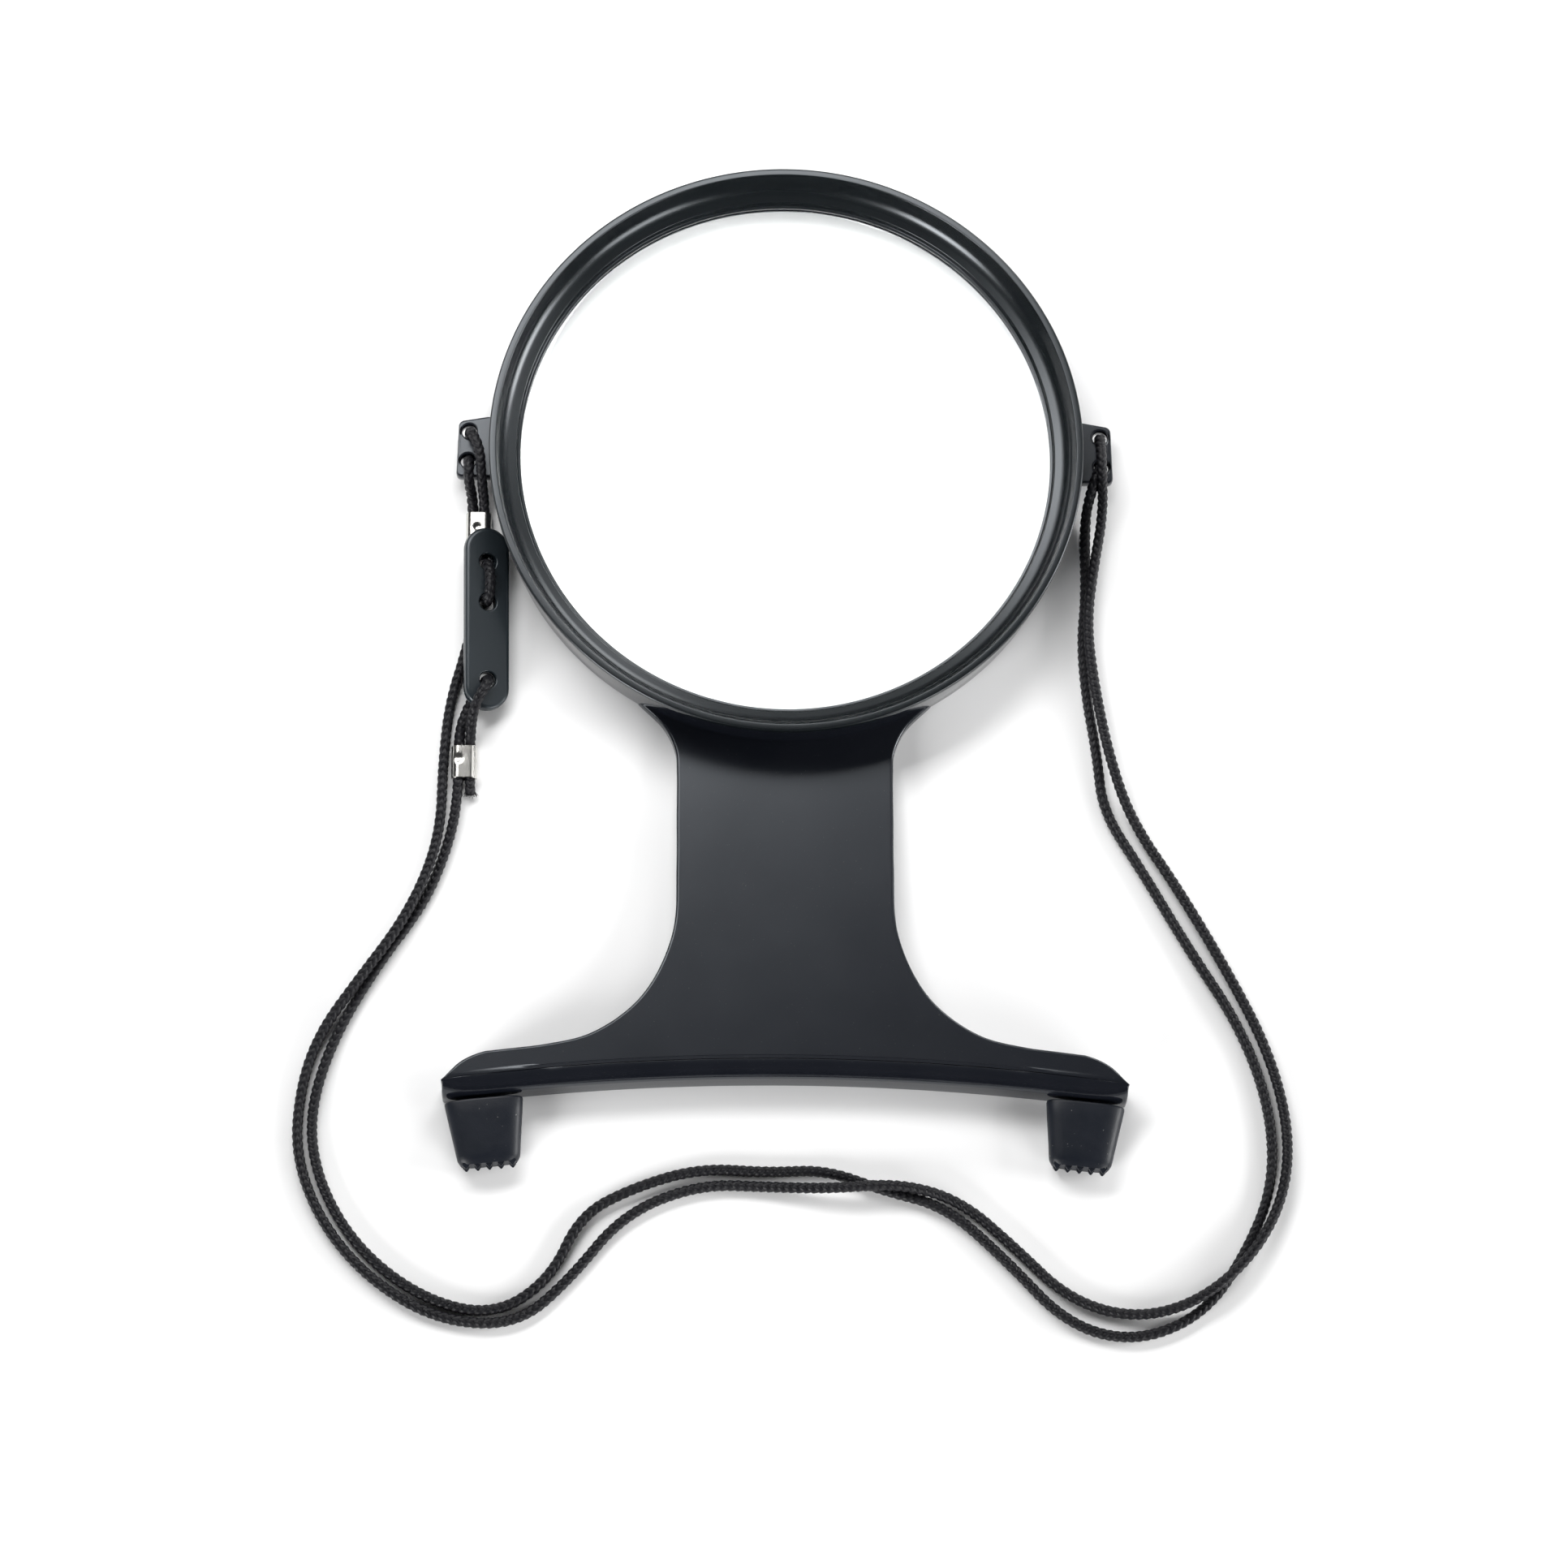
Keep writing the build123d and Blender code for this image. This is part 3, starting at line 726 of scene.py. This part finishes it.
def make_ring():
    """Outer wall of the lens ring, flaring a little upwards, with the flange that the lens sits on."""
    profile = rounded([
        (57.8, 0, 0.3), (WALL_FOOT_RADIUS, 0, 0.45), (60.0, WALL_TOP, 0), (WALL_INSIDE, WALL_TOP, 0),
        (WALL_INSIDE, LENS_SEAT, 0), (SEAT_RADIUS, LENS_SEAT, 0.2), (SEAT_RADIUS, FLANGE_BOTTOM, 0.2),
        (57.8, FLANGE_BOTTOM, 0.3),
    ])
    build("ring_wall", *lathe(profile), "magnifier", "frame_plastic", FRAME_PLASTIC)


def make_bezel():
    """The hood: a flat lip, a hollow slope and a small step down to the lens's rim."""
    outside = WALL_INSIDE - 0.1
    profile = rounded([
        (LIP_RADIUS, WALL_TOP, 0.15), (LIP_RADIUS, LIP_TOP, 0.4), (58.95, LIP_TOP, 0.25), (57.5, 9.9, 3.2),
        (54.9, 8.95, 0.2), (54.5, 8.0, 0.2), (SEAT_RADIUS, 7.9, 0.1), (SEAT_RADIUS, LENS_RIM_TOP, 0),
        (outside, LENS_RIM_TOP, 0), (outside, WALL_TOP, 0),
    ])
    bezel = build("bezel", *lathe(profile), "magnifier", "bezel_plastic", BEZEL_PLASTIC, 28.0)
    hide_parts("front_bezel")


def make_lens():
    """Biconvex lens with a flat clamped rim."""
    edge = SEAT_RADIUS - LENS_GAP
    steps = 48

    def cap(sag, radius):
        curve = (edge**2 + sag**2) / (2 * sag)
        return sag - curve + math.sqrt(curve**2 - radius**2)

    radii = [edge * step / steps for step in range(1, steps + 1)]
    front = [(radius, LENS_RIM_TOP + cap(FRONT_SAG, radius)) for radius in radii]
    back = [(radius, LENS_SEAT - cap(BACK_SAG, radius)) for radius in reversed(radii)]
    profile = front + [(LENS_RIM_RADIUS, LENS_RIM_TOP), (LENS_RIM_RADIUS, LENS_SEAT)] + back
    points, faces = lathe(profile)
    size = len(profile)
    front_pole, back_pole = len(points), len(points) + 1
    points += [(0, RING_Y, LENS_RIM_TOP + FRONT_SAG), (0, RING_Y, LENS_SEAT - BACK_SAG)]
    faces = [face for face in faces if face[0] % size != size - 1]
    for turn in range(AROUND):
        here, there = turn * size, (turn + 1) % AROUND * size
        faces.append((front_pole, there, here))
        faces.append((back_pole, here + size - 1, there + size - 1))
    lens = build("lens_disc", points, faces, "magnifier", "lens", LENS_ACRYLIC, 30.0)
    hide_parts("lens")


# ---- stem, bar and lugs ---------------------------------------------------------------------------


def front_drop(x):
    """How far the bar's front has curved back from its middle at x."""
    return BAR_FRONT_RADIUS - math.sqrt(BAR_FRONT_RADIUS**2 - x**2)


def plate_height(x, y):
    """Top of the plate, which rises to the crease and then is flat."""
    behind = max(0.0, y - (CREASE_Y - front_drop(x)))
    return CREASE_HEIGHT - PLATE_SLOPE * behind


def side_path():
    """One edge in plan from inside the ring wall to the bar's tip."""
    return through([
        (29.6, -7.0), (24.4, -12.4), (22.1, -17.6), (21.8, -22.0), (21.8, -32.0), (21.8, -42.0), (22.6, -56.4),
        (28.5, -69.2), (38.1, -76.9), (48.0, -79.6), (58.9, -80.9), (64.1, -83.1), (BAR_HALF, BAR_TIP_Y),
    ], 12)


def front_path():
    """The bar's front in plan from its middle to one tip: a long curve, a gentle turn and a crisp corner."""
    path = [Vector((x, BAR_FRONT_Y - front_drop(x))) for x in np.linspace(0, END_START, FRONT_STEPS + 1)]
    heading = -math.asin(END_START / BAR_FRONT_RADIUS)
    for radius, turn, steps in ((END_TURN, math.radians(16), 4), (END_CORNER, math.radians(81), 5)):
        centre = path[-1] + Vector((-math.sin(heading), math.cos(heading))) * radius
        for step in range(1, steps + 1):
            angle = heading + turn * step / steps
            path.append(centre + Vector((math.sin(angle), -math.cos(angle))) * radius)
        heading += turn
    path.append(Vector((BAR_HALF, BAR_TIP_Y)))
    return path


def side_rows():
    """Rows of the stem's top face, from the ring to the bar's tip, as (rim, edge, bend, lift).

    rim is where a row's flat part ends, edge is the plan's outline beside it, bend is 0 where the row
    follows the ring and 1 where it follows the bar's front, and lift raises it from the plate.
    """
    edges = side_path()
    rims = []
    for index, edge in enumerate(edges):
        along = (edges[min(index + 1, len(edges) - 1)] - edges[max(index - 1, 0)]).normalized()
        width = SIDE_EDGE * min(1.0, (len(edges) - 1 - index) / 8)
        rims.append(edge + Vector((along.y, -along.x)) * width)
    levels = [rim.y + front_drop(rim.x) for rim in rims]
    rows = []
    lowest = math.inf
    for rim, edge, level in zip(rims, edges, levels):
        if CREASE_Y + 0.1 < level < lowest - 0.04:
            rows.append((rim, edge, min(1.0, (edges[0].y - edge.y) / 30), 0.0))
            lowest = level
    for share, lift in BAND:
        level = CREASE_Y + (levels[-1] - CREASE_Y) * share
        after = next((index for index, value in enumerate(levels) if value < level), len(levels) - 1)
        part = (levels[after - 1] - level) / (levels[after - 1] - levels[after])
        rim = rims[after - 1].lerp(rims[after], part)
        edge = edges[after - 1].lerp(edges[after], part)
        rows.append((rim, edge, 1.0, lift))
    return rows


def row_bend(x, bend):
    """How far back a row has curved at x: round the ring where bend is 0, round the chest where it is 1."""
    return (bend - 1) * math.sqrt(max(0.0, RING_FOOT**2 - x**2)) - bend * front_drop(x)


def make_stem():
    """Plate, bar and its rolled front as one moulding."""
    front = front_path()
    half = [x / BAR_HALF for x in np.linspace(0, END_START, FRONT_STEPS + 1)]
    half += list(np.linspace(half[-1], 1.0, len(front) - FRONT_STEPS))[1:]
    fractions = [-share for share in reversed(half[1:])] + half
    front = [Vector((-x, y)) for x, y in reversed(front[1:])] + front
    rows = side_rows()
    columns = len(fractions)
    last = len(rows) - 1
    points, faces = [], []
    for rim, _, bend, lift in rows:
        for share in fractions:
            x = rim.x * share
            y = rim.y + row_bend(x, bend) - row_bend(rim.x, bend)
            inward = min(1.0, (BAR_HALF - abs(x)) / BAND_FADE)
            fade = 1.0 if lift == BAND[-1][1] else inward**2 * (3 - 2 * inward)
            points.append((x, y, plate_height(x, y) + lift * fade))
    for row in range(last):
        for column in range(columns - 1):
            a = row * columns + column
            faces.append((a, a + 1, a + 1 + columns, a + columns))
    # The loop round the top face: each point, the plan's outline beside it and how far the edge rolls down
    loop = [(row * columns, Vector((-rows[row][1].x, rows[row][1].y)), SIDE_EDGE) for row in range(last)]
    for column, edge in enumerate(front):
        near_end = max(0.0, (abs(edge.x) - 60) / 7)
        loop.append((last * columns + column, edge, BAR_NOSE + END_ROLL * near_end))
    loop += [(row * columns + columns - 1, rows[row][1], SIDE_EDGE) for row in range(last - 1, -1, -1)]
    loop += [(column, Vector(points[column][:2]), 0.0) for column in range(columns - 2, 0, -1)]
    turns = 8
    stacks = []
    for start, edge, roll in loop:
        x, y, top = points[start]
        roll = min(roll, top * 0.7)
        stack = [start]
        for turn in range(1, turns + 1):
            angle = math.pi / 2 * turn / turns
            reach = math.sin(angle)
            stack.append(len(points))
            height = top - roll * (1 - math.cos(angle))
            points.append((x + (edge.x - x) * reach, y + (edge.y - y) * reach, height))
        for height in (0.25, 0.0):
            stack.append(len(points))
            points.append((edge.x, edge.y, height))
        stacks.append(stack)
    for here, there in zip(stacks, stacks[1:] + stacks[:1]):
        for level in range(len(here) - 1):
            faces.append((here[level], there[level], there[level + 1], here[level + 1]))
    faces.append(tuple(stack[-1] for stack in stacks))
    stem = build("stem_and_bar", points, faces, "magnifier", "frame_plastic", FRAME_PLASTIC, 30.0)
    hollow_out(stem)
    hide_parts("frame")


def hollow_out(stem):
    """Cuts the hollow underside, which leaves the plate, the bar's front wall and its end blocks."""
    inner = BAR_HALF - END_BLOCK
    flat = CREASE_HEIGHT - PLATE
    steps = 40
    points = []
    for step in range(steps + 1):
        x = -inner + 2 * inner * step / steps
        wall = BAR_FRONT_Y + BAR_WALL - front_drop(x)
        points += [
            (x, wall, -2), (x, wall, flat), (x, CREASE_Y - front_drop(x) * 0.3, flat), (x, -10, 0.0),
            (x, 8, -0.4), (x, 8, -2),
        ]
    faces = tube_faces(steps + 1, 6)
    cutter = build("cutter", points, faces, "magnifier", "frame_plastic", FRAME_PLASTIC)
    cut = stem.modifiers.new("hollow", "BOOLEAN")
    cut.operation = "DIFFERENCE"
    cut.solver = "EXACT"
    cut.object = cutter
    graph = bpy.context.evaluated_depsgraph_get()
    mesh = bpy.data.meshes.new_from_object(stem.evaluated_get(graph))
    stem.modifiers.clear()
    stem.data = mesh
    bpy.data.objects.remove(cutter)


def make_lugs():
    """The ears that the cord is threaded through."""
    edge = [
        (0.5, LUG_BOTTOM), (0.15, LUG_BOTTOM + 0.1), (0.0, LUG_BOTTOM + 0.4), (0.0, LUG_TOP - 0.4),
        (0.12, LUG_TOP - 0.12), (0.4, LUG_TOP),
    ]
    for side, name in ((-1, "left_lug"), (1, "right_lug")):
        outline = [(side * x, y) for x, y in rounded(LUG_CORNERS)][::side]
        holes = [((side * x, y), HOLE_RADIUS - 0.1) for x, y in (UPPER_HOLE, LOWER_HOLE)]
        build(name, *plate(outline, holes, edge), "magnifier", "frame_plastic", FRAME_PLASTIC)


# ---- feet -----------------------------------------------------------------------------------------


def make_foot(side, name, node):
    """A tapering rubber boot with crowned faces and a toothed sole."""
    turn = math.radians(FOOT_TURN)
    out = Vector((-side * math.sin(turn), -math.cos(turn), 0))
    across = Vector((math.cos(turn), -side * math.sin(turn), 0))
    place = Matrix((across, Vector((0, 0, 1)), out)).transposed().to_4x4()
    place.translation = Vector((side * FOOT_ROOT[0], FOOT_ROOT[1], FOOT_ROOT[2]))
    sides = 64
    points = []
    for along, width, height, shift in FOOT_SECTIONS:
        for step in range(sides):
            angle = math.tau * (step + 0.5) / sides
            c, s = math.cos(angle), math.sin(angle)
            x = math.copysign(abs(c) ** 0.55, c) * width / 2
            y = math.copysign(abs(s) ** 0.75, s) * height / 2 + shift
            points.append((x, y, along))
    faces = tube_faces(len(FOOT_SECTIONS), sides)
    for column in range(TEETH_ACROSS):
        for row in range(TEETH_UP):
            x = (column - (TEETH_ACROSS - 1) / 2) * TOOTH_PITCH
            y = (row - (TEETH_UP - 1) / 2) * TOOTH_PITCH + FOOT_SECTIONS[-1][3]
            faces += tooth(points, x, y)
    foot = build(name, points, faces, "magnifier", "foot_rubber", BOOT_RUBBER, 40.0, place)
    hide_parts(node)


def tooth(points, x, y):
    """Adds one blunt pyramid to points and gives its faces."""
    first = len(points)
    for half, height in ((TOOTH_BASE / 2, -TOOTH_ROOT), (TOOTH_BASE / 2, 0.0), (TOOTH_TIP / 2, TOOTH_HEIGHT)):
        for dx, dy in ((-1, -1), (1, -1), (1, 1), (-1, 1)):
            points.append((x + dx * half, y + dy * half, FOOT_LENGTH + height))
    faces = [(first + 3, first + 2, first + 1, first), (first + 8, first + 9, first + 10, first + 11)]
    for level in (0, 4):
        for corner in range(4):
            a, b = first + level + corner, first + level + (corner + 1) % 4
            faces.append((a, b, b + 4, a + 4))
    return faces


# ---- cord fittings --------------------------------------------------------------------------------


def obround(length, width, steps=20):
    """An anticlockwise slot outline, its length along x."""
    radius = width / 2
    straight = length / 2 - radius
    outline = []
    for end in (1, -1):
        for step in range(steps + 1):
            angle = math.radians(-90 + 180 * step / steps)
            outline.append((end * (straight + radius * math.cos(angle)), end * radius * math.sin(angle)))
    return outline


def make_slider():
    """The adjuster: a rounded bar with three holes and a fine parting line round its edge."""
    half = SLIDER_THICK / 2
    lower = [(0.75, -half), (0.32, -half + 0.1), (0.1, -half + 0.32), (0.0, -half + 0.7), (0.0, -0.1)]
    upper = [(depth, -height) for depth, height in reversed(lower)]
    holes = [((from_top - SLIDER_LENGTH / 2, 0), radius - 0.12) for from_top, radius in SLIDER_HOLES]
    points, faces = plate(obround(SLIDER_LENGTH, SLIDER_WIDTH), holes, [*lower, (0.14, 0.0), *upper], 0.4)
    slider = build(
        "adjuster_bar", points, faces, "adjuster", "slider_plastic", SLIDER_PLASTIC, 40.0, slider_matrix())
    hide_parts("adjuster_slider")
    return slider


def make_crimp(name, node, body, dents):
    """A ferrule pressed round two cords. dents lists (across, along, depth, size) of its pressed marks."""
    low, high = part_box(node)
    centre = (low + high) / 2 / MM
    profile = [(CRIMP_WALL, 0.0), (CRIMP_EDGE, 0.0), (0.0, CRIMP_EDGE)]
    rows = 44
    spacing = 0.22
    for step in range(1, rows):
        profile.append((0.0, CRIMP_EDGE + (CRIMP_LENGTH - 2 * CRIMP_EDGE) * step / rows))
    profile += [(0.0, CRIMP_LENGTH - CRIMP_EDGE), (CRIMP_EDGE, CRIMP_LENGTH), (CRIMP_WALL, CRIMP_LENGTH)]
    outline = obround(CRIMP_WIDTH, CRIMP_HEIGHT, 16)
    dense = []
    for a, b in zip(outline, outline[1:] + outline[:1]):
        pieces = max(1, round((Vector(b) - Vector(a)).length / spacing))
        dense += [tuple(Vector(a).lerp(Vector(b), step / pieces)) for step in range(pieces)]
    points = []
    for depth, along in profile:
        for x, z in inset(dense, depth):
            y = CRIMP_LENGTH / 2 - along
            if z > 0:
                for across, where, deep, size in dents:
                    gap = math.hypot(x - across, y - where) / size
                    z -= deep * math.exp(-gap**3)
            points.append((centre.x + x, centre.y + y, CRIMP_Z + z))
    sides = len(dense)
    faces = tube_faces(len(profile), sides)[:-2]
    inner = len(points) - sides
    for index in range(sides):
        after = (index + 1) % sides
        faces.append((index, after, inner + after, inner + index))
    crimp = build(name, points, faces, body, "crimp_metal", CRIMP_PLATING, 40.0)
    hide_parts(node)
    return crimp


def make_frayed_end():
    """Loose filaments at the cut end of the cord under the lower crimp."""
    root = Vector((-63.35, -25.6, 1.45))
    filaments = 46
    rng = np.random.default_rng(7)
    points, faces = [], []
    for _ in range(filaments):
        angle, lean = rng.uniform(0, math.tau), rng.uniform(0, 0.75)
        start = root + Vector((0.7 * math.cos(angle), 0, 0.6 * math.sin(angle)))
        way = Vector((lean * math.cos(angle), -1, 0.5 * lean * math.sin(angle))).normalized()
        reach = rng.uniform(0.8, 1.7)
        droop = Vector((rng.uniform(-0.3, 0.3), 0, -0.15))
        first = len(points)
        for step in range(5):
            share = step / 4
            centre = start + way * reach * share + droop * share**2
            centre.z = max(centre.z, 0.12)
            thick = 0.10 * (1 - 0.6 * share)
            for corner in range(4):
                turn = math.tau * corner / 4
                points.append(centre + Vector((thick * math.cos(turn), 0, thick * math.sin(turn))))
        faces += tube_faces(5, 4, first)
    return build("frayed_end", points, faces, "adjuster", "cord", BRAID_YARN, 60.0)


# ---- the object -----------------------------------------------------------------------------------

make_camera()

main_cord, main_line, main_end = make_cord("cord_main", MAIN, "magnifier")
lug_loop, lug_line, _ = make_cord("cord_lug_loop", LUG_LOOP, "magnifier")
return_cord, return_line, _ = make_cord("cord_return", RETURN, None, main_end)
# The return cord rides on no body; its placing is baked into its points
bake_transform(return_cord)
adjuster_loop, adjuster_line, _ = make_cord("cord_adjuster_loop", ADJUSTER_LOOP, "adjuster")
weave, _, _ = make_cord("cord_weave", WEAVE, "adjuster")
frayed_end = make_frayed_end()

upper_crimp = make_crimp("upper_ferrule", "upper_crimp", "magnifier", [(-0.3, 0.1, 0.26, 0.75)])
lower_crimp = make_crimp("lower_ferrule", "lower_crimp", "adjuster", [(-1.2, 0.6, 0.24, 0.8)])
slider = make_slider()

make_ring()
make_bezel()
make_lens()
make_stem()
make_lugs()
make_foot(-1, "left_boot", "left_foot")
make_foot(1, "right_boot", "right_foot")

make_lamps()
make_world()
make_table()

bpy.context.view_layer.update()
